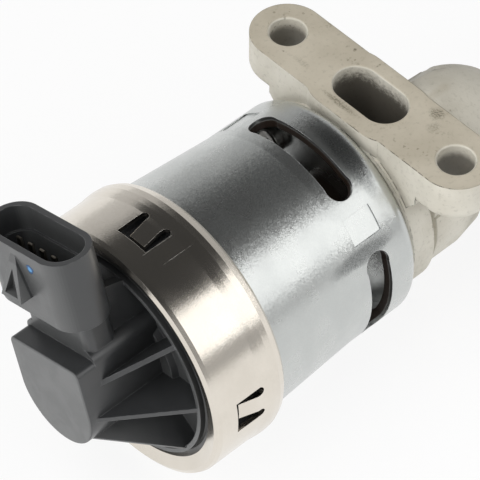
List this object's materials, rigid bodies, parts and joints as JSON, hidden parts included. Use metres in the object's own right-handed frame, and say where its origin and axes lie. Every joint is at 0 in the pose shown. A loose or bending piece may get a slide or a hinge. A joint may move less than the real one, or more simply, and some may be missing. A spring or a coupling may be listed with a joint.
{
  "type": "egr valve",
  "caption": "Solenoid exhaust gas recirculation valve: cast base with bolted gas flange, slotted can, crimp ring and plastic sensor cap with connector.",
  "frame": {"origin": "centre of the mounting flange face, midway between the two bolt holes", "axes": "+Z out of the mounting face, X along the bolt line, Y along the valve axis with the connector cap towards -Y"},
  "size_m": [0.0744, 0.1302, 0.0795],
  "materials": {
    "cast_alloy": "as cast, matt",
    "hard_steel": "ground",
    "bronze": "turned",
    "turned_steel": "turned",
    "spring_steel": "drawn",
    "gasket": "matt",
    "zinc_steel": "bright zinc",
    "screw_steel": "plain",
    "shield_sheet": "heat tinted",
    "sleeve_steel": "polished",
    "bobbin_plastic": "matt",
    "winding": "enamelled wire",
    "tinned_brass": "tinned",
    "nickel_steel": "bright nickel",
    "seal_rubber": "matt",
    "cap_plastic": "satin moulded",
    "guide_plastic": "matt",
    "plunger_plastic": "matt",
    "board": "matt"
  },
  "bodies": {
    "valve_body": {"armature_sleeve": "sleeve_steel", "base_casting": "cast_alloy", "base_gasket": "gasket", "base_screws": "screw_steel", "bobbin": "bobbin_plastic", "bush_holder": "turned_steel", "cap_seal": "seal_rubber", "coil": "winding", "coil_pins": "tinned_brass", "connector_blades": "tinned_brass", "crimp_ring": "nickel_steel", "lower_pole": "turned_steel", "plunger_spring": "spring_steel", "return_spring": "spring_steel", "sensor_board": "board", "sensor_cap": "cap_plastic", "sensor_guide": "guide_plastic", "solenoid_can": "zinc_steel", "stem_bush": "bronze", "stem_scraper": "spring_steel", "stem_shield": "shield_sheet", "stop_washer": "bronze", "upper_pole": "turned_steel", "valve_seat": "hard_steel"},
    "valve_stem": {"armature": "turned_steel", "pintle": "hard_steel"},
    "sensing_plunger": {"sensor_plunger": "plunger_plastic", "wiper": "bronze"}
  },
  "joints": [
    {"name": "valve_slide", "type": "slide", "parent": "valve_body", "child": "valve_stem", "axis": [0, -1, 0], "range_m": [0, 0.0045], "stiffness_N_per_m": 1500, "springref_m": -0.006, "deforming": ["return_spring"]},
    {"name": "plunger_slide", "type": "slide", "parent": "valve_body", "child": "sensing_plunger", "axis": [0, -1, 0], "range_m": [0, 0.0045], "stiffness_N_per_m": 60, "springref_m": -0.006, "deforming": ["plunger_spring"]}
  ],
  "couplings": [
    {"joint": "plunger_slide", "follows": "valve_slide", "ratio": 1}
  ]
}
